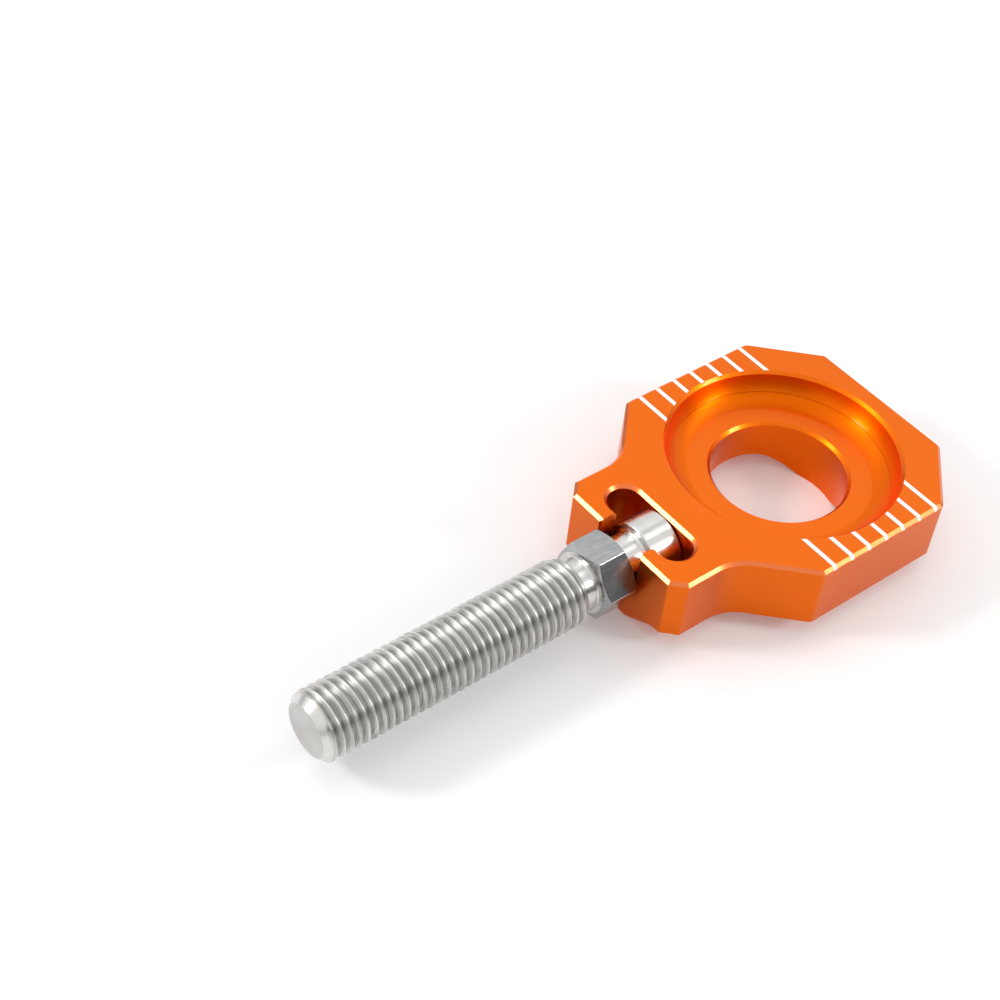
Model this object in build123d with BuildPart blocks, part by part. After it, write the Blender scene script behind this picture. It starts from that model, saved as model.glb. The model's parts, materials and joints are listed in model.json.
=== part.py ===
from build123d import *
import os
from math import cos, radians, sqrt, tan

# Motorcycle chain adjuster: a milled axle block and the turned bolt that pulls it.
# Millimetres. The origin is where the axle bore's axis crosses the bolt's axis, half way
# through the flange. +X points along the bolt to its free end, and +Z points out of the
# flat outer face, so the rib on the underside points down.

os.makedirs("parts", exist_ok=True)

# Axle seat
bore_diameter = 20.0
recess_diameter = 33.8
recess_depth = 4.0
recess_cove = 3.4  # radius between the recess wall and its floor
edge_chamfer = 0.45  # broken edges of the outer face, recess and bore
underside_chamfer = 0.3  # broken edges round the underside

# Block outline, seen from above
flange_thickness = 10.2
side_land = 3.6  # flat between the recess and each long side
back_land = 3.3  # flat between the recess and the back
back_corner_cut = 8.7  # legs of the 45 degree cuts at the back
shoulder_run = 12.2  # from the bore's axis to the front shoulders
corner_round = 1.2
end_reach = 31.0  # from the bore's axis to the end face
end_width = 23.8
end_corner_cut = 2.0
waist_radius = 7.0  # where the shoulders run into the narrow end

# Locating rib under the block
rib_height = 2.6
rib_width = 7.0
rib_flank = 5.0  # width of each sloping flank
rib_crown_radius = 3.0
rib_foot_radius = 3.5

# Adjuster bolt
head_diameter = 9.6
head_thickness = 4.9
head_chamfer = 0.25
neck_diameter = 7.2
neck_fillet = 0.5
hex_across_flats = 10.0
hex_length = 5.7
hex_face_diameter = 9.1  # round face left by the chamfer at each end of the hexagon
hex_chamfer_angle = 30.0
hex_turn = 6.0  # degrees that the hexagon stands turned about the bolt's axis
relief_diameter = 7.7
relief_length = 2.8
relief_fillet = 0.3
thread_diameter = 9.93
thread_length = 41.65
thread_end_chamfer = 1.1
thread_start_chamfer = 0.85

# T-slot that holds the bolt's head
head_back_gap = 0.15  # between the head and the slot's back wall
head_front_gap = 0.15  # between the head and the lips
head_end_room = 2.95  # between the head and each round end of the slot
neck_gap = 0.4  # all round the neck, between the lips
lip_thickness = 2.85
lip_chamfer = 0.3
hex_gap = 0.6  # between the end face and the hexagon

# Scale marks on the outer face
mark_count = 7
mark_pitch = 3.33
mark_width = 0.7
mark_depth = 0.15

# Heights, measured from the bolt's axis
top = flange_thickness / 2
underside = -flange_thickness / 2
rib_bottom = underside - rib_height
recess_floor = top - recess_depth

# Block sizes that follow
bore_radius = bore_diameter / 2
recess_radius = recess_diameter / 2
half_width = recess_radius + side_land
back_reach = recess_radius + back_land
end_half_width = end_width / 2
waist_reach = shoulder_run + half_width - end_half_width
rib_half_width = rib_width / 2
cove_radius = min(recess_cove, 0.95 * (recess_depth - edge_chamfer))

# Bolt sizes that follow
head_radius = head_diameter / 2
neck_radius = neck_diameter / 2
relief_radius = relief_diameter / 2
thread_radius = thread_diameter / 2
hex_face_radius = hex_face_diameter / 2
hex_corner_radius = hex_across_flats / 2 / cos(radians(180 / 6))
neck_slot_radius = neck_radius + neck_gap
slot_width = head_back_gap + head_thickness + head_front_gap
slot_length = head_diameter + 2 * head_end_room

# Stations along the bolt, measured from the bore's axis
slot_front = end_reach - lip_thickness
slot_middle = slot_front - slot_width / 2
head_front = slot_front - head_front_gap
head_back = head_front - head_thickness
hex_back = end_reach + hex_gap
hex_front = hex_back + hex_length
thread_start = hex_front + relief_length
bolt_end = thread_start + thread_length

overrun = 1.0  # how far a cutter runs past the face that it breaks through


# Axle block before its scale marks are cut
with BuildPart() as blank:
    # end view: a flat flange with the rib under its middle
    with BuildSketch(Plane.YZ.offset(-back_reach - overrun)):
        with BuildLine():
            side = half_width + overrun
            right_half = [
                (side, top),
                (side, underside),
                (rib_half_width + rib_flank, underside),
                (rib_half_width, rib_bottom),
            ]
            left_half = [(-y, z) for y, z in reversed(right_half)]
            rib_radii = [0, 0, rib_foot_radius, rib_crown_radius]
            FilletPolyline(right_half + left_half, radius=rib_radii + rib_radii[::-1], close=True)
        make_face()
    extrude(amount=back_reach + end_reach + 2 * overrun)

    # plan view: cut corners at the back, 45 degree shoulders into a narrow end
    with BuildSketch(Plane.XY.offset(rib_bottom)) as outline:
        with BuildLine():
            near_side = [
                (-back_reach, half_width - back_corner_cut),
                (-back_reach + back_corner_cut, half_width),
                (shoulder_run, half_width),
                (waist_reach, end_half_width),
                (end_reach - end_corner_cut, end_half_width),
                (end_reach, end_half_width - end_corner_cut),
            ]
            far_side = [(x, -y) for x, y in reversed(near_side)]
            Polyline(near_side + far_side, close=True)
        make_face()
        waist_corners = outline.vertices().group_by(Axis.X)[3]
        fillet(waist_corners, waist_radius)
        back, sides, shoulders = outline.vertices().group_by(Axis.X)[:3]
        fillet(back + sides + shoulders, corner_round)
    extrude(amount=top - rib_bottom, mode=Mode.INTERSECT)

    # broken edges round the underside, over the ends of the rib as well
    upright_walls = blank.faces().filter_by(lambda face: abs(face.normal_at().Z) < 0.01)
    wall_edges = upright_walls.edges().filter_by(Axis.Z, reverse=True)
    chamfer(wall_edges.filter_by_position(Axis.Z, rib_bottom - overrun, 0), underside_chamfer)

    # cross slot for the bolt's head, milled right through
    with BuildSketch(Plane.XY.offset(top)):
        with Locations((slot_middle, 0)):
            SlotOverall(slot_length, slot_width, rotation=90)
    extrude(amount=rib_bottom - top - overrun, mode=Mode.SUBTRACT)

    # broken edges of the outer face and of the cross slot
    chamfer(blank.faces().sort_by(Axis.Z)[-1].edges(), edge_chamfer)

    # axle bore and the coved recess for the axle's head, turned about the bore's axis
    with BuildSketch(Plane.XZ):
        with BuildLine():
            FilletPolyline(
                (0, rib_bottom - overrun),
                (bore_radius, rib_bottom - overrun),
                (bore_radius, recess_floor - edge_chamfer),
                (bore_radius + edge_chamfer, recess_floor),
                (recess_radius, recess_floor),
                (recess_radius, top - edge_chamfer),
                (recess_radius + edge_chamfer + overrun, top + overrun),
                (0, top + overrun),
                radius=[0, 0, 0, 0, cove_radius, 0, 0, 0],
                close=True,
            )
        make_face()
    revolve(axis=Axis.Z, mode=Mode.SUBTRACT)

    # slot between the lips for the bolt's neck: open above, round below
    with BuildSketch(Plane.YZ.offset(slot_middle)):
        with BuildLine():
            Polyline(
                (-neck_slot_radius, 0),
                (-neck_slot_radius, top + overrun),
                (neck_slot_radius, top + overrun),
                (neck_slot_radius, 0),
            )
            ThreePointArc((neck_slot_radius, 0), (0, -neck_slot_radius), (-neck_slot_radius, 0))
        make_face()
    extrude(amount=end_reach - slot_middle, mode=Mode.SUBTRACT)
    chamfer(blank.edges(Select.LAST).group_by(Axis.X)[-1], lip_chamfer)


# Cutter for the scale marks: each pass crosses both lands and drops over the broken edges
with BuildPart() as mark_cutter:
    first_mark = -mark_pitch * (mark_count - 1) / 2
    mark_planes = [Plane.YZ.offset(first_mark + index * mark_pitch) for index in range(mark_count)]
    knee = half_width - edge_chamfer - mark_depth * (sqrt(2) - 1)
    with BuildSketch(*mark_planes):
        with BuildLine():
            drop = half_width + overrun - knee
            right_half = [
                (half_width + overrun, top + overrun),
                (half_width + overrun, top - mark_depth - drop),
                (knee, top - mark_depth),
            ]
            left_half = [(-y, z) for y, z in reversed(right_half)]
            Polyline(right_half + left_half, close=True)
        make_face()
    extrude(amount=mark_width / 2, both=True)


# Axle block
with BuildPart() as axle_block:
    add(blank.part)
    add(mark_cutter.part, mode=Mode.SUBTRACT)

axle_block.part.label = "axle_block"


# White paint that fills the scale marks flush
with BuildPart() as scale_marks:
    add(mark_cutter.part)
    add(blank.part, mode=Mode.INTERSECT)

scale_marks.part.label = "scale_marks"


# Adjuster bolt, turned from one bar with a hexagon left on it
with BuildPart() as adjuster_bolt:
    # hexagon, with its corners turned down at both ends
    with BuildSketch(Plane.YZ.offset(hex_back)):
        RegularPolygon(hex_corner_radius, 6, rotation=hex_turn)
    extrude(amount=hex_length)
    with BuildSketch(Plane.XY):
        with BuildLine():
            outer_radius = hex_corner_radius + overrun
            setback = (outer_radius - hex_face_radius) * tan(radians(hex_chamfer_angle))
            Polyline(
                (hex_back, 0),
                (hex_back, hex_face_radius),
                (hex_back + setback, outer_radius),
                (hex_front - setback, outer_radius),
                (hex_front, hex_face_radius),
                (hex_front, 0),
                close=True,
            )
        make_face()
    revolve(axis=Axis.X, mode=Mode.INTERSECT)

    # head and neck behind the hexagon
    with BuildSketch(Plane.XY):
        with BuildLine():
            FilletPolyline(
                (head_back, 0),
                (head_back, head_radius - head_chamfer),
                (head_back + head_chamfer, head_radius),
                (head_front - head_chamfer, head_radius),
                (head_front, head_radius - head_chamfer),
                (head_front, neck_radius),
                (hex_back, neck_radius),
                (hex_back, 0),
                radius=[0, 0, 0, 0, 0, neck_fillet, 0, 0],
                close=True,
            )
        make_face()
    revolve(axis=Axis.X)

    # thread relief and threaded stud in front of it
    with BuildSketch(Plane.XY):
        with BuildLine():
            stud_line = Polyline(
                (hex_front, relief_radius + relief_fillet),
                (hex_front, 0),
                (bolt_end, 0),
                (bolt_end, thread_radius - thread_end_chamfer),
                (bolt_end - thread_end_chamfer, thread_radius),
                (thread_start, thread_radius),
                (thread_start - thread_start_chamfer, thread_radius - thread_start_chamfer),
                (thread_start - thread_start_chamfer, relief_radius),
                (hex_front + relief_fillet, relief_radius),
            )
            RadiusArc(stud_line @ 1, stud_line @ 0, relief_fillet)
        make_face()
    revolve(axis=Axis.X)

adjuster_bolt.part.label = "adjuster_bolt"

export_step(axle_block.part, "parts/axle_block.step")
export_step(scale_marks.part, "parts/scale_marks.step")
export_step(adjuster_bolt.part, "parts/adjuster_bolt.step")
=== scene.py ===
"""Motorcycle chain adjuster: a milled and anodised axle block with its turned steel bolt.

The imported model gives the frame. Every piece is built in metres in that frame, as
operators that a user of the panel can run again with other sizes and colours.
"""

import json
import math

import bmesh
import bpy
from mathutils import Matrix, Vector


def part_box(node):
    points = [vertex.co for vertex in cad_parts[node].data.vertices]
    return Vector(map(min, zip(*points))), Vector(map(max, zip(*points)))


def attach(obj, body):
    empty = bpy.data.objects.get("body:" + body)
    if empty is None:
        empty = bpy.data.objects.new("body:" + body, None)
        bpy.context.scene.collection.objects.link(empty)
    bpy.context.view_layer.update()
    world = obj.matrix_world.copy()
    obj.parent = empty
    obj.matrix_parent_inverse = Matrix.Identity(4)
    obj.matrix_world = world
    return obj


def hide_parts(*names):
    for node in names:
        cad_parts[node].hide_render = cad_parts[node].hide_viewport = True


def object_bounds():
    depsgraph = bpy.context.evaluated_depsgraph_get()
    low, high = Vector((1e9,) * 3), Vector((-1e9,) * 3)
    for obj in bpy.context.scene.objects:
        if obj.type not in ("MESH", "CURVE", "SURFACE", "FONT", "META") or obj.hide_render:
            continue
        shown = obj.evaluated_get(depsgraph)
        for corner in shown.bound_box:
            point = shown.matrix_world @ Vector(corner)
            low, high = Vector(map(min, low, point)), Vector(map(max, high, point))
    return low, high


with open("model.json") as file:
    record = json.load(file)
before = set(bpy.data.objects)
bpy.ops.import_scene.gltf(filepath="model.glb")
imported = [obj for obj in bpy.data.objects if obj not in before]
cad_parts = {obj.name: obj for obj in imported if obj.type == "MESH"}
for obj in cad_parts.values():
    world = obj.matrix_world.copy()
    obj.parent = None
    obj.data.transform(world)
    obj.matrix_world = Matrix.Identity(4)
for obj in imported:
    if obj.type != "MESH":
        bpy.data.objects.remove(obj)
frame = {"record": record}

bl_info = {
    "name": "Chain adjuster",
    "version": (1, 0, 0),
    "blender": (4, 5, 0),
    "location": "View3D > Sidebar > Chain adjuster",
    "description": "Builds the dressed chain adjuster around its packed frame",
    "category": "Object",
}

MM = 0.001

CAD_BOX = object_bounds()
BLOCK_LOW, BLOCK_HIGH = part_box("axle_block")
BOLT_LOW, BOLT_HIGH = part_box("adjuster_bolt")
MOUNTS = {mount["name"]: mount for mount in frame["record"]["mounts"]}
BORE_RADIUS = MOUNTS["axle_bore"]["dims"]["r_mm"] * MM
STUD_RADIUS = MOUNTS["stud"]["dims"]["r_mm"] * MM
RECESS_FLOOR = MOUNTS["axle_head_seat"]["pos_m"][2]
FLANGE_UNDERSIDE = MOUNTS["swingarm_face"]["pos_m"][2]
THREAD_START = MOUNTS["stud"]["pos_m"][0] - MOUNTS["stud"]["dims"]["length_mm"] * MM / 2

OVERRUN = 1.0 * MM  # how far a cutter runs past the face that it breaks through
WELD = 0.001 * MM  # corners of a mesh that are closer than this are one
ARC_STEP = math.radians(5)

# Material slots of the block's mesh and of the bolt's mesh, in order
BLASTED, WALL, EDGE, TURNED, MILLED = range(5)
TURNED_STEEL, FLATS, THREAD, END_FACE = range(4)
MOST_SLOTS = 5


def length(name, default, description):
    """A size that a user may change, in metres."""
    return bpy.props.FloatProperty(
        name=name, description=description, default=default, min=0.0, unit="LENGTH", precision=5
    )


def colour(name, default, description):
    """A colour that a user may change."""
    return bpy.props.FloatVectorProperty(
        name=name, description=description, default=default, size=3, min=0.0, max=1.0, subtype="COLOR"
    )


class BlockSizes(bpy.types.PropertyGroup):
    """Sizes and colours of the axle block and its scale marks."""

    bore_radius: length("Bore radius", BORE_RADIUS, "Radius of the axle bore")
    recess_radius: length("Recess radius", 16.9 * MM, "Radius of the recess for the axle's head")
    recess_cove: length("Recess cove", 3.4 * MM, "Radius between the recess wall and its floor")
    pass_radius: length("Cove line radius", 15.9 * MM, "Radius of the fine line in the recess's cove")
    pass_groove: length("Cove line depth", 0.06 * MM, "Depth of the fine line in the recess's cove")
    edge_chamfer: length("Edge chamfer", 0.45 * MM, "Width of the broken edges")
    low_chamfer: length("Underside chamfer", 0.3 * MM, "Width of the broken edges round the underside")
    corner_cut: length("Back corner cut", 8.7 * MM, "Legs of the cut corners at the back")
    corner_round: length("Corner round", 1.2 * MM, "Radius of the upright corners")
    shoulder_run: length("Shoulder run", 12.2 * MM, "From the bore's axis to the front shoulders")
    end_half_width: length("End half width", 11.9 * MM, "Half the width of the narrow end")
    end_corner_cut: length("End corner cut", 2.0 * MM, "Legs of the cut corners at the narrow end")
    waist_radius: length("Waist radius", 7.0 * MM, "Radius where the shoulders meet the narrow end")
    rib_half_width: length("Rib half width", 3.5 * MM, "Half the width of the rib's foot")
    rib_flank: length("Rib flank", 5.0 * MM, "Width of each sloping flank of the rib")
    rib_crown: length("Rib crown radius", 3.0 * MM, "Radius along the rib's lower corners")
    rib_foot: length("Rib foot radius", 3.5 * MM, "Radius where the rib meets the flange")
    slot_width: length("Cross slot width", 5.2 * MM, "Width of the slot that holds the bolt's head")
    slot_length: length("Cross slot length", 15.5 * MM, "Length of the slot that holds the bolt's head")
    lip: length("Lip thickness", 2.85 * MM, "Thickness of the lips in front of the bolt's head")
    lip_chamfer: length("Lip chamfer", 0.3 * MM, "Broken edge of the neck slot in the end face")
    neck_slot_radius: length("Neck slot radius", 4.0 * MM, "Radius of the slot between the lips")
    mark_pitch: length("Mark pitch", 3.33 * MM, "Distance between two scale marks")
    mark_width: length("Mark width", 0.7 * MM, "Width of a scale mark")
    mark_depth: length("Mark depth", 0.15 * MM, "Depth of a scale mark")
    mark_count: bpy.props.IntProperty(
        name="Marks on a side", description="Scale marks on each side of the recess", default=7, min=1
    )
    anodised: colour("Anodised colour", (0.83, 0.145, 0.0), "Colour of the anodised aluminium")
    # paler broken-edge colour: a painted highlight on the chamfers of the outer face and the pocket
    edges: colour("Broken edge colour", (0.86, 0.2, 0.06), "Colour of the broken edges of the outer face")
    paint: colour("Paint colour", (0.92, 0.91, 0.89), "Colour of the paint in the scale marks")


class BoltSizes(bpy.types.PropertyGroup):
    """Sizes and colour of the adjuster bolt."""

    head_radius: length("Head radius", 4.8 * MM, "Radius of the round head")
    head_thickness: length("Head thickness", 4.9 * MM, "Thickness of the round head")
    neck_radius: length("Neck radius", 3.6 * MM, "Radius of the neck between the lips")
    hex_back: length("Hexagon start", 31.6 * MM, "From the bore's axis to the hexagon")
    hex_length: length("Hexagon length", 5.7 * MM, "Length of the hexagon")
    hex_apothem: length("Hexagon half width", 5.0 * MM, "Half the distance across the hexagon's flats")
    hex_face: length("Hexagon face radius", 4.55 * MM, "Round face left at each end of the hexagon")
    hex_round: length("Hexagon corner round", 0.25 * MM, "Radius along the hexagon's six corners")
    relief_radius: length("Relief radius", 3.85 * MM, "Radius of the thread relief")
    pitch: length("Thread pitch", 1.25 * MM, "Distance between two crests of the thread")
    thread_depth: length("Thread depth", 0.76 * MM, "Depth of the thread from crest to root")
    crest_half: length("Thread crest half width", 0.07 * MM, "Half the width of the thread's flat crest")
    end_chamfer: length("End chamfer", 1.1 * MM, "Chamfer at the stud's free end")
    hex_turn: bpy.props.FloatProperty(
        name="Hexagon turn", description="Angle that the hexagon stands turned about the bolt's axis",
        default=math.radians(6), subtype="ANGLE",
    )
    steel: colour("Turned steel colour", (0.68, 0.665, 0.645), "Colour of the turned steel")
    bar: colour("Bar steel colour", (0.4, 0.405, 0.41), "Colour of the hexagon bar's flats")


class StageSettings(bpy.types.PropertyGroup):
    """Camera, floor and light."""

    camera_place: bpy.props.FloatVectorProperty(
        name="Camera place", description="Where the camera stands", size=3, subtype="TRANSLATION",
        default=(164.86 * MM, 121.21 * MM, 189.25 * MM), unit="LENGTH",
    )
    camera_aim: bpy.props.FloatVectorProperty(
        name="Camera aim", description="The point that the camera looks at", size=3, subtype="TRANSLATION",
        default=(36.68 * MM, -18.45 * MM, 0.0), unit="LENGTH",
    )
    camera_roll: bpy.props.FloatProperty(
        name="Camera roll", description="Turn of the camera about its line of sight",
        default=math.radians(6.4), subtype="ANGLE",
    )
    lens: bpy.props.FloatProperty(
        name="Lens", description="Focal length in millimetres", default=68.71, min=1.0
    )
    floor_colour: colour("Floor colour", (0.92, 0.92, 0.92), "Colour of the pale floor")
    floor_lift: bpy.props.FloatProperty(
        name="Floor lift", description="Light added where the floor is seen, to make it white", default=0.1
    )
    tent_light: bpy.props.FloatProperty(
        name="Tent light", description="Light of the white tent on matt surfaces", default=0.7, min=0.0
    )


def round_corners(corners, closed=True):
    """Points along a polyline whose corners, each (x, y, radius), are rounded with arcs."""
    points = []
    count = len(corners)
    for index, (x, y, radius) in enumerate(corners):
        here = Vector((x, y))
        if radius <= 0 or (not closed and index in (0, count - 1)):
            points.append(here)
            continue
        before = (Vector(corners[index - 1][:2]) - here).normalized()
        after = (Vector(corners[(index + 1) % count][:2]) - here).normalized()
        half = before.angle(after) / 2
        turn = math.pi - 2 * half
        centre = here + (before + after).normalized() * radius / math.sin(half)
        start = here + before * (radius / math.tan(half)) - centre
        end = here + after * (radius / math.tan(half)) - centre
        steps = max(2, math.ceil(turn / ARC_STEP))
        direction = 1 if start.x * end.y - start.y * end.x > 0 else -1
        for step in range(steps + 1):
            points.append(centre + Matrix.Rotation(direction * turn * step / steps, 2) @ start)
    return points


def inset(corners, distance):
    """The same corners moved inwards, for a loop that runs anticlockwise."""
    moved = []
    count = len(corners)
    for index, (x, y, radius) in enumerate(corners):
        here = Vector((x, y))
        arriving = (here - Vector(corners[index - 1][:2])).normalized()
        leaving = (Vector(corners[(index + 1) % count][:2]) - here).normalized()
        normals = [Vector((-side.y, side.x)) for side in (arriving, leaving)]
        shift = (normals[0] + normals[1]) * distance / (1 + normals[0].dot(normals[1]))
        left_turn = arriving.x * leaving.y - arriving.y * leaving.x > 0
        new_radius = radius - distance if left_turn else radius + distance
        moved.append((x + shift.x, y + shift.y, max(new_radius, 0.0) if radius > 0 else 0.0))
    return moved


def mesh_object(name, mesh_builder):
    """A new object in the scene with the mesh of a bmesh, which is freed."""
    mesh = bpy.data.meshes.new(name)
    for _ in range(MOST_SLOTS):
        mesh.materials.append(None)
    bmesh.ops.recalc_face_normals(mesh_builder, faces=mesh_builder.faces)
    mesh_builder.to_mesh(mesh)
    mesh_builder.free()
    piece = bpy.data.objects.new(name, mesh)
    bpy.context.scene.collection.objects.link(piece)
    return piece


def stack(name, loops, slot=BLASTED, slots=None):
    """A closed solid through loops of points, all with as many points, with flat ends."""
    builder = bmesh.new()
    rings = [[builder.verts.new(point) for point in loop] for loop in loops]
    count = len(loops[0])
    for level, (low, high) in enumerate(zip(rings, rings[1:])):
        for index in range(count):
            after = (index + 1) % count
            face = builder.faces.new((low[index], low[after], high[after], high[index]))
            face.material_index = slots[level] if slots else slot
    for ring in (rings[0], rings[-1]):
        builder.faces.new(ring).material_index = slot
    return mesh_object(name, builder)


def turned(name, profile, slots, segments):
    """A closed solid turned about Z from a profile of (radius, height), with a slot a step."""
    builder = bmesh.new()
    angles = [2 * math.pi * index / segments for index in range(segments)]
    rings = []
    for radius, height in profile:
        if radius <= 0:
            rings.append([builder.verts.new((0, 0, height))] * segments)
        else:
            rings.append(
                [builder.verts.new((radius * math.cos(a), radius * math.sin(a), height)) for a in angles]
            )
    for low, high, slot in zip(rings, rings[1:], slots):
        for index in range(segments):
            after = (index + 1) % segments
            corners = (low[index], low[after], high[after], high[index])
            builder.faces.new(list(dict.fromkeys(corners))).material_index = slot
    return mesh_object(name, builder)


def combine(piece, tool, operation):
    """Cuts or joins the tool into the piece for good, and removes the tool."""
    modifier = piece.modifiers.new(operation.lower(), "BOOLEAN")
    modifier.operation = operation
    modifier.solver = "EXACT"
    modifier.object = tool
    bake(piece)
    mesh = tool.data
    bpy.data.objects.remove(tool)
    bpy.data.meshes.remove(mesh)


def bake(piece):
    """Applies the piece's modifiers to its mesh."""
    graph = bpy.context.evaluated_depsgraph_get()
    baked = bpy.data.meshes.new_from_object(piece.evaluated_get(graph))
    old = piece.data
    piece.modifiers.clear()
    piece.data = baked
    bpy.data.meshes.remove(old)
    baked.name = piece.name


def block_corners(sizes):
    """Corners of the block's plan outline, anticlockwise, with their radii."""
    back, end = BLOCK_LOW.x, BLOCK_HIGH.x
    side, narrow = BLOCK_HIGH.y, sizes.end_half_width
    waist = sizes.shoulder_run + side - narrow
    near = [
        (end, narrow - sizes.end_corner_cut, 0),
        (end - sizes.end_corner_cut, narrow, 0),
        (waist, narrow, sizes.waist_radius),
        (sizes.shoulder_run, side, sizes.corner_round),
        (back + sizes.corner_cut, side, sizes.corner_round),
        (back, side - sizes.corner_cut, sizes.corner_round),
    ]
    return near + [(x, -y, radius) for x, y, radius in reversed(near)]


def rib_section(sizes):
    """Corners of the block's end view, anticlockwise: a wide flange with the rib below."""
    side, top = BLOCK_HIGH.y + OVERRUN, BLOCK_HIGH.z + OVERRUN
    right = [
        (sizes.rib_half_width, BLOCK_LOW.z, sizes.rib_crown),
        (sizes.rib_half_width + sizes.rib_flank, FLANGE_UNDERSIDE, sizes.rib_foot),
        (side, FLANGE_UNDERSIDE, 0),
        (side, top, 0),
    ]
    return right + [(-y, z, radius) for y, z, radius in reversed(right)]


def raw_block(sizes):
    """The block's flange and rib with broken edges, before its holes."""
    top = BLOCK_HIGH.z
    corners = block_corners(sizes)
    full = round_corners(corners)
    small = round_corners(inset(corners, sizes.edge_chamfer))
    loops = [
        [(p.x, p.y, BLOCK_LOW.z - OVERRUN) for p in full],
        [(p.x, p.y, top - sizes.edge_chamfer) for p in full],
        [(p.x, p.y, top) for p in small],
    ]
    block = stack("axle_block_dressed", loops, slots=[WALL, EDGE])
    section = round_corners(rib_section(sizes))
    ends = (BLOCK_LOW.x - OVERRUN, BLOCK_HIGH.x + OVERRUN)
    combine(block, stack("section", [[(x, p.x, p.y) for p in section] for x in ends]), "INTERSECT")
    return block


def recess_profile(sizes):
    """Profile of the bore and its recess: (radius, height), from below to above."""
    rim = sizes.edge_chamfer
    bore, recess, top = sizes.bore_radius, sizes.recess_radius, BLOCK_HIGH.z
    corners = [
        (0, BLOCK_LOW.z - OVERRUN, 0),
        (bore, BLOCK_LOW.z - OVERRUN, 0),
        (bore, RECESS_FLOOR - rim, 0),
        (bore + rim, RECESS_FLOOR, 0),
        (recess, RECESS_FLOOR, sizes.recess_cove),
        (recess, top - rim, 0),
        (recess + rim + OVERRUN, top + OVERRUN, 0),
        (0, top + OVERRUN, 0),
    ]
    points = [(p.x, p.y) for p in round_corners(corners, closed=False)]

    # fine groove in the cove, where two passes of the tool meet
    cove = sizes.recess_cove
    middle = Vector((recess - cove, RECESS_FLOOR + cove))
    pass_angle = -math.acos((sizes.pass_radius - middle.x) / cove)
    groove = []
    for share, depth in ((-1, 0), (0, sizes.pass_groove), (1, 0)):
        angle = pass_angle + share * sizes.pass_groove / cove
        reach = cove + depth
        groove.append((middle.x + reach * math.cos(angle), middle.y + reach * math.sin(angle)))
    before = [p for p in points if p[1] < groove[0][1] and p[0] <= groove[0][0]]
    after = points[len(before):]
    return before + groove + after


def recess_slots(profile, sizes):
    """Material slots along that profile: milled bore, turned cove and wall, blasted floor and rims."""
    slots = []
    for start, end in zip(profile, profile[1:]):
        outer = max(start[0], end[0]) - WELD
        rim = outer < sizes.bore_radius + sizes.edge_chamfer or outer > sizes.recess_radius
        level = abs(end[1] - start[1]) < WELD
        if outer < sizes.bore_radius:
            slots.append(MILLED)
        elif rim or level:
            slots.append(BLASTED)
        else:
            slots.append(TURNED)
    return slots


def stadium(centre_x, long, wide, height):
    """Points of a slot with round ends that runs along Y, at one height."""
    radius = wide / 2
    end_round = radius * 0.9999  # a hair less than half the width, so that no two arcs meet in one point
    corners = [
        (centre_x + radius, -long / 2, end_round),
        (centre_x + radius, long / 2, end_round),
        (centre_x - radius, long / 2, end_round),
        (centre_x - radius, -long / 2, end_round),
    ]
    return [(p.x, p.y, height) for p in round_corners(corners)]


def neck_slot(radius, x):
    """Points of the slot for the neck: round below and open above, at one station."""
    top = BLOCK_HIGH.z + OVERRUN
    steps = math.ceil(math.pi / ARC_STEP)
    arc = [math.pi + math.pi * step / steps for step in range(steps + 1)]
    round_part = [(x, radius * math.cos(a), radius * math.sin(a)) for a in arc]
    return round_part + [(x, radius, top), (x, -radius, top)]


def mark_stations(sizes):
    """Places of the scale marks along X."""
    first = -sizes.mark_pitch * (sizes.mark_count - 1) / 2
    return [first + index * sizes.mark_pitch for index in range(sizes.mark_count)]


def mark_band(sizes, depth, reach):
    """Path of a mark's bottom across the top and over the broken edge, as (y, z)."""
    side, top = BLOCK_HIGH.y, BLOCK_HIGH.z
    knee = side - sizes.edge_chamfer - depth * (math.sqrt(2) - 1)
    return (knee, top - depth), (side + reach, top - depth - (side + reach - knee))


def break_low_edges(block, sizes):
    """Chamfers the edges between the upright walls and the underside."""
    builder = bmesh.new()
    builder.from_mesh(block.data)
    bmesh.ops.remove_doubles(builder, verts=builder.verts, dist=WELD)
    bmesh.ops.dissolve_limit(
        builder, angle_limit=math.radians(0.5), verts=builder.verts, edges=builder.edges
    )
    low = []
    for edge in builder.edges:
        heights = [face.normal.z for face in edge.link_faces]
        if len(heights) == 2 and min(abs(height) for height in heights) < 0.01 and min(heights) < -0.1:
            low.append(edge)  # one face is upright and the other looks down
    bmesh.ops.bevel(
        builder, geom=low, offset=sizes.low_chamfer, offset_type="OFFSET", segments=1, profile=0.5,
        affect="EDGES", clamp_overlap=False,
    )
    builder.to_mesh(block.data)
    builder.free()


def finish_mesh(piece, angle):
    """Smooth shading that keeps the edges sharper than an angle."""
    builder = bmesh.new()
    builder.from_mesh(piece.data)
    bmesh.ops.remove_doubles(builder, verts=builder.verts, dist=WELD / 2)
    bmesh.ops.recalc_face_normals(builder, faces=builder.faces)
    for face in builder.faces:
        face.smooth = True
    for edge in builder.edges:
        edge.smooth = len(edge.link_faces) != 2 or edge.calc_face_angle() < angle
    builder.to_mesh(piece.data)
    builder.free()
    weighted = piece.modifiers.new("weighted normals", "WEIGHTED_NORMAL")
    weighted.keep_sharp = True
    weighted.weight = 80
    bake(piece)


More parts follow.
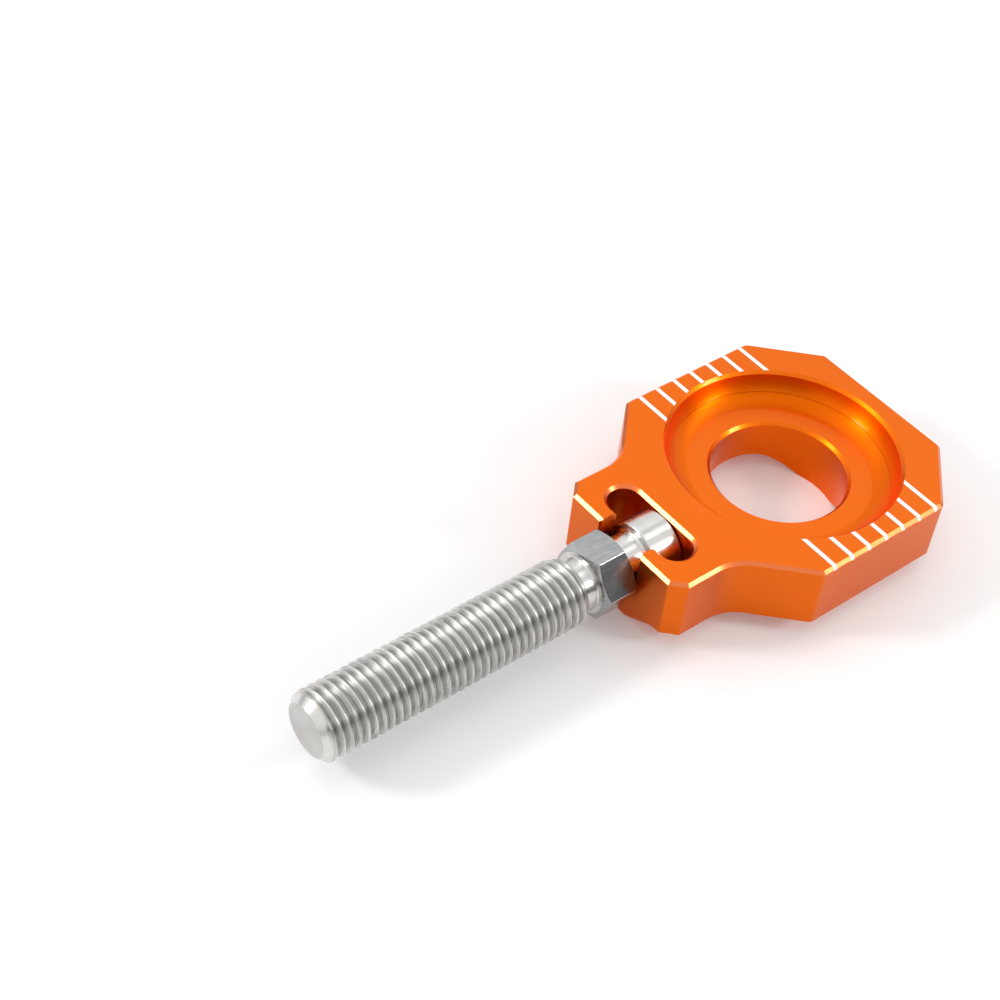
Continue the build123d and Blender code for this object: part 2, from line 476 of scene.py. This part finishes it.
def cut_bolt_slots(block, sizes):
    """Cuts the cross slot for the bolt's head and the slot for its neck between the lips."""
    top, end = BLOCK_HIGH.z, BLOCK_HIGH.x
    centre = end - sizes.lip - sizes.slot_width / 2
    rim = sizes.edge_chamfer
    flare = 2 * (rim + OVERRUN)
    levels = [(0, BLOCK_LOW.z - OVERRUN), (0, top - rim), (flare, top + OVERRUN)]
    loops = [
        stadium(centre, sizes.slot_length + grow, sizes.slot_width + grow, height) for grow, height in levels
    ]
    combine(block, stack("pocket", loops, slot=MILLED, slots=[MILLED, EDGE]), "DIFFERENCE")

    radius, rim = sizes.neck_slot_radius, sizes.lip_chamfer
    stations = [(radius, centre), (radius, end - rim), (radius + rim + OVERRUN, end + OVERRUN)]
    loops = [neck_slot(reach, x) for reach, x in stations]
    combine(block, stack("neck slot", loops, slot=MILLED), "DIFFERENCE")


def cut_marks(block, sizes):
    """Cuts the scale marks: each pass crosses both lands and drops over the broken edges."""
    knee, low = mark_band(sizes, sizes.mark_depth, OVERRUN)
    half = [knee, low, (low[0], BLOCK_HIGH.z + OVERRUN)]
    section = half + [(-y, z) for y, z in reversed(half)]
    for station in mark_stations(sizes):
        ends = (station - sizes.mark_width / 2, station + sizes.mark_width / 2)
        combine(block, stack("mark", [[(x, y, z) for y, z in section] for x in ends]), "DIFFERENCE")


def build_block(sizes):
    """The block: milled outside, turned recess and bore, T-slot and scale marks."""
    block = raw_block(sizes)
    break_low_edges(block, sizes)
    profile = recess_profile(sizes)
    recess = turned("recess", profile, recess_slots(profile, sizes), segments=192)
    combine(block, recess, "DIFFERENCE")
    cut_bolt_slots(block, sizes)
    cut_marks(block, sizes)
    finish_mesh(block, math.radians(24))
    return block


def build_marks(sizes):
    """Paint strips that fill the scale marks, a little below the metal and slightly hollow."""
    builder = bmesh.new()
    columns, rows = 6, 14
    drop, dip, gap = 0.02 * MM, 0.025 * MM, 0.01 * MM  # below the metal, hollow, clear of the recess
    rim = sizes.recess_radius + sizes.edge_chamfer
    for station in mark_stations(sizes):
        for side in (1, -1):
            layers = []
            for depth in (drop, sizes.mark_depth):
                knee, end = mark_band(sizes, depth, -drop)
                grid = []
                for column in range(columns + 1):
                    share = column / columns
                    x = station + sizes.mark_width * (share - 0.5)
                    hollow = dip * (1 - (2 * share - 1) ** 2) if depth == drop else 0
                    start = math.sqrt(rim**2 - x**2) + gap
                    line = []
                    for row in range(rows + 1):
                        y = start + (knee[0] - start) * row / rows
                        line.append((x, side * y, knee[1] - hollow))
                    line.append((x, side * end[0], end[1] - hollow))
                    grid.append([builder.verts.new(point) for point in line])
                layers.append(grid)
            close_slab(builder, layers)
    return mesh_object("scale_paint", builder)


def close_slab(builder, layers):
    """Faces of a slab between two grids of vertices."""
    upper, lower = layers
    wide, long = len(upper), len(upper[0])
    for grid in layers:
        for left, right in zip(grid, grid[1:]):
            for row in range(long - 1):
                builder.faces.new((left[row], right[row], right[row + 1], left[row + 1]))
    edge = [(column, 0) for column in range(wide)]
    edge += [(wide - 1, row) for row in range(1, long)]
    edge += [(column, long - 1) for column in range(wide - 2, -1, -1)]
    edge += [(0, row) for row in range(long - 2, 0, -1)]
    for (c0, r0), (c1, r1) in zip(edge, edge[1:] + edge[:1]):
        builder.faces.new((upper[c0][r0], upper[c1][r1], lower[c1][r1], lower[c0][r0]))


def hexagon_corner_angle(sizes):
    """Half of the angle that one rounded corner takes up, seen from the bolt's axis."""
    inner = (sizes.hex_apothem - sizes.hex_round) * math.tan(math.pi / 6)
    return math.pi / 6 - math.atan(inner / sizes.hex_apothem)


def hexagon_angles(sizes, flat_steps=12):
    """Angles round the bolt, close together at the six corners and even on the flats."""
    corner = hexagon_corner_angle(sizes)
    flat = math.pi / 3 - 2 * corner
    angles = []
    for index in range(6):
        middle = sizes.hex_turn + index * math.pi / 3
        angles += [middle + corner * share for share in (-1, -0.5, 0, 0.5, 1)]
        angles += [middle + corner + flat * step / flat_steps for step in range(1, flat_steps)]
    return angles


def hexagon_radius(angle, sizes):
    """Distance from the axis to the hexagon's side at an angle, with rounded corners."""
    sixth = math.pi / 3
    off_corner = abs((angle - sizes.hex_turn + sixth / 2) % sixth - sixth / 2)
    if off_corner >= hexagon_corner_angle(sizes):
        return sizes.hex_apothem / math.cos(sixth / 2 - off_corner)
    centre = (sizes.hex_apothem - sizes.hex_round) / math.cos(sixth / 2)
    rise = max(sizes.hex_round**2 - (centre * math.sin(off_corner)) ** 2, 0)
    return centre * math.cos(off_corner) + math.sqrt(rise)


def thread_profile(sizes):
    """One pitch of the thread from crest to crest: (share of the pitch, depth).

    The crest is flat, the flanks stand at 60 degrees to each other and the root is round.
    """
    half = sizes.pitch / 2
    radius = (half - sizes.crest_half) * math.sqrt(3) - sizes.thread_depth
    turns = [math.radians(angle) for angle in (60, 40, 20, 0)]
    root = [(half - radius * math.sin(a), sizes.thread_depth - radius * (1 - math.cos(a))) for a in turns]
    falling = [(0, 0), (sizes.crest_half, 0), *root]
    rising = [(sizes.pitch - along, depth) for along, depth in reversed(falling[1:-1])]
    return [(along / sizes.pitch, depth) for along, depth in falling + rising]


def turned_rings(sizes):
    """Stations and radii of the turned profile, behind and in front of the hexagon."""
    back = BOLT_LOW.x
    head_front = back + sizes.head_thickness
    hex_front = sizes.hex_back + sizes.hex_length
    start_radius = STUD_RADIUS - sizes.thread_depth - 0.13 * MM  # just below the thread's root
    thread_back = THREAD_START - (STUD_RADIUS - start_radius)
    head_round, neck_fillet, relief_fillet, foot = 0.25 * MM, 0.5 * MM, 0.3 * MM, 0.12 * MM
    behind = [
        (back, 0, 0),
        (back, sizes.head_radius, head_round),
        (head_front, sizes.head_radius, head_round),
        (head_front, sizes.neck_radius, neck_fillet),
        (sizes.hex_back, sizes.neck_radius, foot),
        (sizes.hex_back, sizes.hex_face, 0),
    ]
    front = [
        (hex_front, sizes.hex_face, 0),
        (hex_front, sizes.relief_radius, relief_fillet),
        (thread_back, sizes.relief_radius, 0.1 * MM),
        (thread_back, start_radius, 0),
    ]
    return round_corners(behind, closed=False)[1:], round_corners(front, closed=False)


def thread_lines(builder, angles, back, end, sizes):
    """Lines of vertices that climb one pitch a turn, trimmed by a cone at each end."""
    end_radius = STUD_RADIUS - sizes.end_chamfer
    run_out = 0.6 * sizes.pitch  # the groove fades over this length towards the free end
    profile = thread_profile(sizes)
    turns = math.ceil((end - back.x) / sizes.pitch) + 2
    stations = [(turn + share, depth) for turn in range(turns) for share, depth in profile]
    lines = []
    for station, depth in stations:
        made = []
        for angle in angles:
            climb = station - 1 + (angle - angles[0]) / (2 * math.pi)
            x = min(max(back.x + sizes.pitch * climb, back.x), end)
            cone = min(back.y + x - back.x, end_radius + end - x)
            fade = min(max((end - sizes.end_chamfer - x) / run_out, 0), 1)
            radius = min(STUD_RADIUS - depth * fade, cone)
            made.append(builder.verts.new((x, radius * math.cos(angle), radius * math.sin(angle))))
        lines.append(made)
    return lines, len(profile)


def build_bolt(sizes):
    """The bolt as one closed mesh: head, neck, hexagon, relief and helical thread."""
    builder = bmesh.new()
    angles = hexagon_angles(sizes)
    count = len(angles)
    behind, front = turned_rings(sizes)
    hex_front = sizes.hex_back + sizes.hex_length

    def ring(stations, radii):
        """One ring of vertices, with a station and a radius for each angle."""
        return [
            builder.verts.new((x, radius * math.cos(angle), radius * math.sin(angle)))
            for angle, x, radius in zip(angles, stations, radii)
        ]

    def thread_slot(corners):
        """Slot of a thread face: the cone at the free end is plain turned steel."""
        on_cone = min(corner.co.x for corner in corners) > BOLT_HIGH.x - sizes.end_chamfer - 10 * WELD
        return TURNED_STEEL if on_cone else THREAD

    sides = [hexagon_radius(angle, sizes) for angle in angles]
    cones = [math.tan(math.pi / 6) * (side - sizes.hex_face) for side in sides]
    rings = [ring([p.x] * count, [p.y] * count) for p in behind]
    flats_level = len(rings)
    rings.append(ring([sizes.hex_back + cone for cone in cones], sides))
    rings.append(ring([hex_front - cone for cone in cones], sides))
    rings += [ring([p.x] * count, [p.y] * count) for p in front[:-1]]
    for level, (low, high) in enumerate(zip(rings, rings[1:])):
        for index in range(count):
            after = (index + 1) % count
            face = builder.faces.new((low[index], low[after], high[after], high[index]))
            face.material_index = FLATS if abs(level - flats_level) <= 1 else TURNED_STEEL
    builder.faces.new(rings[0]).material_index = END_FACE

    lines, one_turn = thread_lines(builder, angles, front[-1], BOLT_HIGH.x, sizes)
    for line, (low, high) in enumerate(zip(lines, lines[1:])):
        for index in range(count - 1):
            corners = (low[index], low[index + 1], high[index + 1], high[index])
            builder.faces.new(corners).material_index = thread_slot(corners)
        if line + 1 + one_turn < len(lines):
            corners = (low[-1], lines[line + one_turn][0], lines[line + 1 + one_turn][0], high[-1])
            builder.faces.new(corners).material_index = thread_slot(corners)
    last = rings[-1]
    first = lines[0] + [lines[one_turn][0]]
    for index in range(count):
        corners = (last[index], last[(index + 1) % count], first[index + 1], first[index])
        builder.faces.new(corners).material_index = TURNED_STEEL

    bmesh.ops.remove_doubles(builder, verts=builder.verts, dist=2 * WELD)
    open_edges = [edge for edge in builder.edges if len(edge.link_faces) == 1]
    made = bmesh.ops.holes_fill(builder, edges=open_edges, sides=0)
    for face in made["faces"]:
        face.material_index = END_FACE
    bolt = mesh_object("adjuster_bolt_dressed", builder)
    finish_mesh(bolt, math.radians(38))
    return bolt


# Materials


class Nodes:
    """Short ways to add and link the nodes of one material, whose grains are set in millimetres."""

    def __init__(self, name):
        self.material = bpy.data.materials.new(name)
        self.material.use_nodes = True
        self.tree = self.material.node_tree
        self.tree.nodes.clear()
        self.output = self.add("ShaderNodeOutputMaterial")
        self.shader = self.add("ShaderNodeBsdfPrincipled")
        self.link(self.shader, "BSDF", self.output, "Surface")
        self.place = self.add("ShaderNodeTexCoord")

    def add(self, kind, **settings):
        node = self.tree.nodes.new(kind)
        for name, value in settings.items():
            setattr(node, name, value)
        return node

    def link(self, source, output, target, entry):
        self.join(source.outputs[output], target.inputs[entry])

    def join(self, output, entry):
        self.tree.links.new(output, entry)

    def values(self, node, **values):
        for name, value in values.items():
            node.inputs[name.replace("_", " ")].default_value = value

    def noise(self, scale, detail=2.0, stretch=(1, 1, 1), source=None):
        """Noise over the object's own place, scale in features per millimetre."""
        mapping = self.add("ShaderNodeMapping")
        mapping.inputs["Scale"].default_value = [factor * scale / MM for factor in stretch]
        if source is None:
            self.link(self.place, "Object", mapping, "Vector")
        else:
            self.join(source, mapping.inputs["Vector"])
        noise = self.add("ShaderNodeTexNoise")
        self.values(noise, Scale=1.0, Detail=detail, Roughness=0.55)
        self.link(mapping, "Vector", noise, "Vector")
        return noise

    def math(self, operation, first, second=0.0):
        node = self.add("ShaderNodeMath", operation=operation)
        for index, value in enumerate((first, second)):
            if isinstance(value, (int, float)):
                node.inputs[index].default_value = value
            else:
                self.join(value, node.inputs[index])
        return node.outputs[0]

    def remap(self, output, old_range, new_range):
        """Maps one range of a value onto another."""
        node = self.add("ShaderNodeMapRange")
        (low, high), (new_low, new_high) = old_range, new_range
        self.values(node, From_Min=low, From_Max=high, To_Min=new_low, To_Max=new_high)
        self.join(output, node.inputs["Value"])
        return node.outputs["Result"]

    def spread(self, noise, low, high):
        """Maps a noise of about 0.3 to 0.7 onto a range."""
        return self.remap(noise.outputs["Fac"], (0.3, 0.7), (low, high))

    def round_lines(self, axis):
        """Place measured as (distance from an axis, distance along it, 0)."""
        split = self.add("ShaderNodeSeparateXYZ")
        self.link(self.place, "Object", split, "Vector")
        across = [name for name in "XYZ" if name != axis]
        squares = [self.math("MULTIPLY", split.outputs[name], split.outputs[name]) for name in across]
        radius = self.math("SQRT", self.math("ADD", *squares))
        joined = self.add("ShaderNodeCombineXYZ")
        self.join(radius, joined.inputs["X"])
        self.link(split, axis, joined, "Y")
        return joined.outputs["Vector"]

    def tint(self, noise, colour_value, spread, shade=None):
        """Base colour that varies a little in brightness with a noise, times a shade, which on the thread
        also holds painted shade in its roots.
        """
        ramp = self.add("ShaderNodeMix", data_type="RGBA")
        ramp.inputs["A"].default_value = [*[part * (1 - spread) for part in colour_value], 1]
        ramp.inputs["B"].default_value = [*[min(part * (1 + spread), 1) for part in colour_value], 1]
        self.link(noise, "Fac", ramp, "Factor")
        if shade is None:
            self.join(ramp.outputs["Result"], self.shader.inputs["Base Color"])
            return
        scaled = self.add("ShaderNodeVectorMath", operation="SCALE")
        self.join(ramp.outputs["Result"], scaled.inputs[0])
        self.join(shade, scaled.inputs["Scale"])
        self.link(scaled, "Vector", self.shader, "Base Color")

    def painted_groove_shade(self, low, high, dark):
        """Painted shade in the thread's roots: falls from 1 at one distance from the bolt's axis to dark at a
        smaller one.
        """
        split = self.add("ShaderNodeSeparateXYZ")
        self.join(self.round_lines("X"), split.inputs[0])
        return self.remap(split.outputs["X"], (low, high), (dark, 1.0))

    def rough(self, noise, middle, swing):
        """Roughness that varies a little with a noise."""
        self.join(self.spread(noise, middle - swing, middle + swing), self.shader.inputs["Roughness"])

    def ringed(self, axis, amount):
        """Spreads the highlights across tool marks that run round an axis."""
        tangent = self.add("ShaderNodeTangent", direction_type="RADIAL", axis=axis)
        self.link(tangent, "Tangent", self.shader, "Tangent")
        self.values(self.shader, Anisotropic=amount, Anisotropic_Rotation=0.25)

    def bump(self, heights):
        """Chains bump nodes from (noise, depth in millimetres) pairs into the shader's normal."""
        before = None
        for noise, depth in heights:
            node = self.add("ShaderNodeBump")
            self.values(node, Strength=1.0, Distance=depth * MM)
            self.link(noise, "Fac", node, "Height")
            if before:
                self.link(before, "Normal", node, "Normal")
            before = node
        self.link(before, "Normal", self.shader, "Normal")


def anodised(name, colour_value, grain, roughness, coat, ringed=False):
    """Anodised aluminium: dyed metal under a thin clear oxide layer.

    grain is a function of the nodes that gives (noise, depth) pairs of the machined surface.
    """
    nodes = Nodes(name)
    nodes.values(nodes.shader, Metallic=1.0, Coat_Weight=coat, Coat_Roughness=0.08, Coat_IOR=1.5)
    nodes.tint(nodes.noise(0.12), colour_value, 0.04)
    nodes.rough(nodes.noise(1.5), roughness, 0.03)
    if ringed:
        nodes.ringed("Z", 0.8)
    nodes.bump(grain(nodes))
    return nodes.material


def blasted_grain(nodes):
    """Fine even grain of a blasted and dyed face."""
    return [(nodes.noise(9.0, detail=3.0), 0.0035)]


def turned_grain(nodes):
    """Fine rings about the bore's axis, with a little of the blasted grain."""
    rings = nodes.noise(1.0, detail=3.0, stretch=(9, 9, 0), source=nodes.round_lines("Z"))
    return [(rings, 0.0035), (nodes.noise(9.0, detail=2.0), 0.002)]


def milled_grain(nodes):
    """Upright lines left by an end mill, with a little of the blasted grain."""
    return [(nodes.noise(1.0, detail=2.0, stretch=(6, 6, 0.15)), 0.004), (nodes.noise(9.0), 0.002)]


def bright_steel(name, colour_value, grain, roughness, uneven, along=None, groove=None):
    """Bright steel; the first noise of its grain also makes its brightness uneven.

    along spreads the highlights along the bolt. groove is the distance from the bolt's axis to
    the root of the thread and the painted shade there, darkest at the root and fading towards the crest.
    """
    nodes = Nodes(name)
    nodes.values(nodes.shader, Metallic=1.0)
    heights = grain(nodes)
    shade = nodes.spread(heights[0][0], 1 - uneven, 1 + uneven)
    # painted shade: the thread's roots are darkened in the base colour
    if groove:
        root_radius, painted_root_shade = groove
        crest_radius = STUD_RADIUS - 0.1 * MM
        shade = nodes.math("MULTIPLY", shade, nodes.painted_groove_shade(root_radius, crest_radius, painted_root_shade))
    nodes.tint(nodes.noise(0.5), colour_value, 0.06, shade)
    nodes.rough(nodes.noise(0.8), roughness, 0.015)
    if along:
        nodes.ringed("X", along)
    nodes.bump(heights)
    return nodes.material


def steel_rings(depth, scale):
    """Fine turning rings about the bolt's axis, with their depth and how many lie in a millimetre."""

    def grain(nodes):
        rings = nodes.noise(1.0, detail=3.0, stretch=(scale, scale, 0), source=nodes.round_lines("X"))
        return [(rings, depth)]

    return grain


def drawn_grain(nodes):
    """Faint lengthwise lines and small dimples of a drawn hexagon bar."""
    return [(nodes.noise(1.0, detail=4.0, stretch=(0.6, 2.5, 2.5)), 0.006), (nodes.noise(1.5), 0.01)]


def paint_material(colour_value):
    """Paint with a slightly uneven, half matt surface."""
    nodes = Nodes("scale_paint")
    nodes.values(nodes.shader, Metallic=0.0, Roughness=0.45, IOR=1.5)
    nodes.tint(nodes.noise(1.2), colour_value, 0.03)
    nodes.bump([(nodes.noise(5.0, detail=3.0), 0.006)])
    return nodes.material


def darker(colour_value, share):
    """The colour times a share."""
    return [share * part for part in colour_value]


def dress(piece, materials):
    """Gives the piece its materials, in the order of its material slots."""
    slots = piece.data.materials
    for index, material in enumerate(materials):
        slots[index] = material
    while len(slots) > len(materials):
        slots.pop()


class CHAINADJUSTER_OT_block(bpy.types.Operator):
    """Build the milled axle block in place of its plain solid"""

    bl_idname = "chainadjuster.block"
    bl_label = "Build axle block"

    def execute(self, context):
        sizes = context.scene.chain_adjuster_block
        block = build_block(sizes)
        dye = tuple(sizes.anodised)
        dress(block, [
            anodised("anodised_blasted", dye, blasted_grain, roughness=0.34, coat=0.2),
            # painted shade: the upright outer walls get the dye at 0.9, darker than the top faces
            anodised("anodised_walls_painted_shade", darker(dye, 0.9), milled_grain, roughness=0.34, coat=0.15),
            # painted highlight: the broken edges get a paler, whiter dye than the faces
            anodised("anodised_edges_painted_glint", tuple(sizes.edges), blasted_grain, roughness=0.3, coat=0.2),
            anodised("anodised_turned", dye, turned_grain, roughness=0.42, coat=0.06, ringed=True),
            anodised("anodised_milled", dye, milled_grain, roughness=0.3, coat=0.1),
        ])
        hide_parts("axle_block")
        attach(block, "block")
        return {"FINISHED"}


class CHAINADJUSTER_OT_marks(bpy.types.Operator):
    """Fill the scale marks with paint"""

    bl_idname = "chainadjuster.marks"
    bl_label = "Paint scale marks"

    def execute(self, context):
        sizes = context.scene.chain_adjuster_block
        paint = build_marks(sizes)
        dress(paint, [paint_material(tuple(sizes.paint))])
        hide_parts("scale_marks")
        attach(paint, "block")
        return {"FINISHED"}


class CHAINADJUSTER_OT_bolt(bpy.types.Operator):
    """Build the turned adjuster bolt in place of its plain solid"""

    bl_idname = "chainadjuster.bolt"
    bl_label = "Build adjuster bolt"

    def execute(self, context):
        sizes = context.scene.chain_adjuster_bolt
        bolt = build_bolt(sizes)
        steel = tuple(sizes.steel)
        dress(bolt, [
            bright_steel(
                "smooth_turned_steel", steel, steel_rings(0.0005, 8), roughness=0.28, uneven=0.05, along=0.7
            ),
            bright_steel("hexagon_flats", tuple(sizes.bar), drawn_grain, roughness=0.19, uneven=0.14),
            bright_steel(
                "threaded_steel", steel, steel_rings(0.004, 8), roughness=0.46, uneven=0.42, along=0.8,
                # painted shade in the thread's roots, down to 0.58 of the colour at the root
                groove=(STUD_RADIUS - sizes.thread_depth, 0.58),
            ),
            # painted shade: the free end face gets the turned steel at 0.82, darker than the rest of the bolt
            bright_steel(
                "faced_end_painted_shade", darker(steel, 0.82), steel_rings(0.004, 4), roughness=0.3, uneven=0.15, along=0.8
            ),
        ])
        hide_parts("adjuster_bolt")
        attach(bolt, "bolt")
        return {"FINISHED"}


def aim(place, target, roll=0.0):
    """Matrix of a camera or lamp that stands at a place and looks at a target."""
    direction = (Vector(target) - Vector(place)).normalized()
    turn = direction.to_track_quat("-Z", "Y").to_matrix().to_4x4()
    return Matrix.Translation(place) @ turn @ Matrix.Rotation(roll, 4, "Z")


def add_camera(settings):
    """The camera at the photograph's viewing angle."""
    data = bpy.data.cameras.new("camera")
    data.lens = settings.lens
    data.sensor_width = 36.0
    data.clip_start, data.clip_end = 0.01, 50.0
    camera = bpy.data.objects.new("camera", data)
    camera.matrix_world = aim(settings.camera_place, settings.camera_aim, settings.camera_roll)
    bpy.context.scene.collection.objects.link(camera)
    bpy.context.scene.camera = camera


def hung(heading, height, distance):
    """Matrix of what faces the object, with its heading and height in degrees as seen from it."""
    heading, height = math.radians(heading), math.radians(height)
    middle = (CAD_BOX[0] + CAD_BOX[1]) / 2
    flat = math.cos(height)
    way = Vector((flat * math.cos(heading), flat * math.sin(heading), math.sin(height)))
    return aim(middle + way * distance, middle)


def add_softbox(name, heading, height, distance, size, radiance):
    """A soft rectangular lamp."""
    data = bpy.data.lights.new(name, "AREA")
    data.shape = "RECTANGLE"
    data.size, data.size_y = size
    data.energy = radiance * math.pi * size[0] * size[1]
    lamp = bpy.data.objects.new(name, data)
    lamp.matrix_world = hung(heading, height, distance)
    bpy.context.scene.collection.objects.link(lamp)


def seen_rays(tree):
    """1 on rays that the camera, a mirror or glass sees directly, and 0 on scattered light."""
    path = tree.nodes.new("ShaderNodeLightPath")
    total = path.outputs["Is Camera Ray"]
    for name in ("Is Glossy Ray", "Is Transmission Ray"):
        either = tree.nodes.new("ShaderNodeMath")
        either.operation = "MAXIMUM"
        tree.links.new(total, either.inputs[0])
        tree.links.new(path.outputs[name], either.inputs[1])
        total = either.outputs[0]
    return total


def studio_world(settings):
    """White tent round the object: as bright as the floor where it is seen, dimmer as a lamp."""
    world = bpy.data.worlds.new("studio")
    bpy.context.scene.world = world
    world.use_nodes = True
    world.cycles.sampling_method = "NONE"
    tree = world.node_tree
    tree.nodes.clear()
    output = tree.nodes.new("ShaderNodeOutputWorld")
    background = tree.nodes.new("ShaderNodeBackground")
    tree.links.new(background.outputs["Background"], output.inputs["Surface"])
    added = tree.nodes.new("ShaderNodeMath")
    added.operation = "MULTIPLY_ADD"
    tree.links.new(seen_rays(tree), added.inputs[0])
    added.inputs[1].default_value = 1.0 - settings.tent_light
    added.inputs[2].default_value = settings.tent_light
    tree.links.new(added.outputs[0], background.inputs["Strength"])
    background.inputs["Color"].default_value = (1, 1, 1, 1)


def floor_material(colour_value, lift):
    """Pale floor that is lifted to white where it is seen, and keeps the object's shadow."""
    nodes = Nodes("pale_floor")
    nodes.values(nodes.shader, Roughness=0.6, Specular_IOR_Level=0.1)
    nodes.tint(nodes.noise(0.02), colour_value, 0.01)
    strength = nodes.math("MULTIPLY", seen_rays(nodes.tree), lift)
    emission = nodes.add("ShaderNodeEmission")
    nodes.join(strength, emission.inputs["Strength"])
    both = nodes.add("ShaderNodeAddShader")
    nodes.link(nodes.shader, "BSDF", both, 0)
    nodes.link(emission, "Emission", both, 1)
    nodes.link(both, "Shader", nodes.output, "Surface")
    nodes.material.cycles.emission_sampling = "NONE"
    return nodes.material


def dark_card_material():
    """Dark grey cloth of the cards and the flag that the metal mirrors."""
    nodes = Nodes("dark_card")
    nodes.values(nodes.shader, Roughness=0.9)
    nodes.tint(nodes.noise(0.05), (0.12, 0.12, 0.12), 0.1)
    return nodes.material


def hide_card(card):
    """Dresses a dark card so that only reflections see it, and it casts no shadow."""
    dress(card, [dark_card_material()])
    card.visible_camera = False
    card.visible_diffuse = False
    card.visible_shadow = False


def add_card(name, headings, distance, tall):
    """A curved dark card that stands on the floor between two headings, in degrees."""
    steps = 12
    builder = bmesh.new()
    first, last = (math.radians(heading) for heading in headings)
    pairs = []
    for step in range(steps + 1):
        heading = first + (last - first) * step / steps
        foot = Vector((distance * math.cos(heading), distance * math.sin(heading), CAD_BOX[0].z))
        pairs.append((builder.verts.new(foot), builder.verts.new(foot + Vector((0, 0, tall)))))
    for (low, high), (next_low, next_high) in zip(pairs, pairs[1:]):
        builder.faces.new((low, next_low, next_high, high))
    hide_card(mesh_object(name, builder))


def square(name, reach, height=0.0):
    """A flat square that reaches as far each way from its middle."""
    builder = bmesh.new()
    corners = ((-reach, -reach), (reach, -reach), (reach, reach), (-reach, reach))
    builder.faces.new([builder.verts.new((x, y, height)) for x, y in corners])
    return mesh_object(name, builder)


def add_flag(name, heading, height, distance, size):
    """A flat dark card that faces the object from above."""
    flag = square(name, size / 2)
    flag.matrix_world = hung(heading, height, distance)
    hide_card(flag)


class CHAINADJUSTER_OT_stage(bpy.types.Operator):
    """Set up the floor, the soft lamps and the camera"""

    bl_idname = "chainadjuster.stage"
    bl_label = "Build stage"

    def execute(self, context):
        settings = context.scene.chain_adjuster_stage
        floor = square("floor", 6.0, height=CAD_BOX[0].z)
        dress(floor, [floor_material(tuple(settings.floor_colour), settings.floor_lift)])
        add_camera(settings)
        studio_world(settings)
        # name, heading, height, distance, size, radiance
        add_softbox("right softbox", 130, 30, 0.6, (0.13, 0.1), 21.0)
        add_softbox("left softbox", -35, 33, 0.6, (0.13, 0.1), 29.0)
        add_softbox("rear softbox", 227, 66, 0.9, (0.8, 0.8), 0.25)
        add_softbox("back right key", 175, 48, 0.6, (0.14, 0.14), 2.0)
        add_softbox("back left key", 280, 48, 0.6, (0.14, 0.14), 2.0)
        # name, headings, distance, how tall
        add_card("low_card", (95, 150), 0.4, 0.15)
        add_card("tall_card", (25, 95), 0.5, 0.28)
        add_card("rear_card", (150, 315), 0.5, 0.08)
        add_flag("top_flag", 205, 62, 0.6, 0.125)
        context.scene.view_settings.view_transform = "Standard"
        return {"FINISHED"}


class CHAINADJUSTER_PT_panel(bpy.types.Panel):
    """Lists the pieces that can be built and their sizes"""

    bl_label = "Chain adjuster"
    bl_idname = "CHAINADJUSTER_PT_panel"
    bl_space_type = "VIEW_3D"
    bl_region_type = "UI"
    bl_category = "Chain adjuster"

    def draw(self, context):
        groups = (
            (context.scene.chain_adjuster_block, ("chainadjuster.block", "chainadjuster.marks")),
            (context.scene.chain_adjuster_bolt, ("chainadjuster.bolt",)),
            (context.scene.chain_adjuster_stage, ("chainadjuster.stage",)),
        )
        for settings, operators in groups:
            box = self.layout.box()
            for name in settings.bl_rna.properties.keys():
                if name not in ("rna_type", "name"):
                    box.prop(settings, name)
            for operator in operators:
                box.operator(operator)


CLASSES = (
    BlockSizes,
    BoltSizes,
    StageSettings,
    CHAINADJUSTER_OT_block,
    CHAINADJUSTER_OT_marks,
    CHAINADJUSTER_OT_bolt,
    CHAINADJUSTER_OT_stage,
    CHAINADJUSTER_PT_panel,
)


def register():
    for made in CLASSES:
        bpy.utils.register_class(made)
    bpy.types.Scene.chain_adjuster_block = bpy.props.PointerProperty(type=BlockSizes)
    bpy.types.Scene.chain_adjuster_bolt = bpy.props.PointerProperty(type=BoltSizes)
    bpy.types.Scene.chain_adjuster_stage = bpy.props.PointerProperty(type=StageSettings)


def unregister():
    del bpy.types.Scene.chain_adjuster_stage
    del bpy.types.Scene.chain_adjuster_bolt
    del bpy.types.Scene.chain_adjuster_block
    for made in reversed(CLASSES):
        bpy.utils.unregister_class(made)


def main():
    register()
    for step in ("block", "marks", "bolt", "stage"):
        getattr(bpy.ops.chainadjuster, step)()


if __name__ == "__main__":
    main()
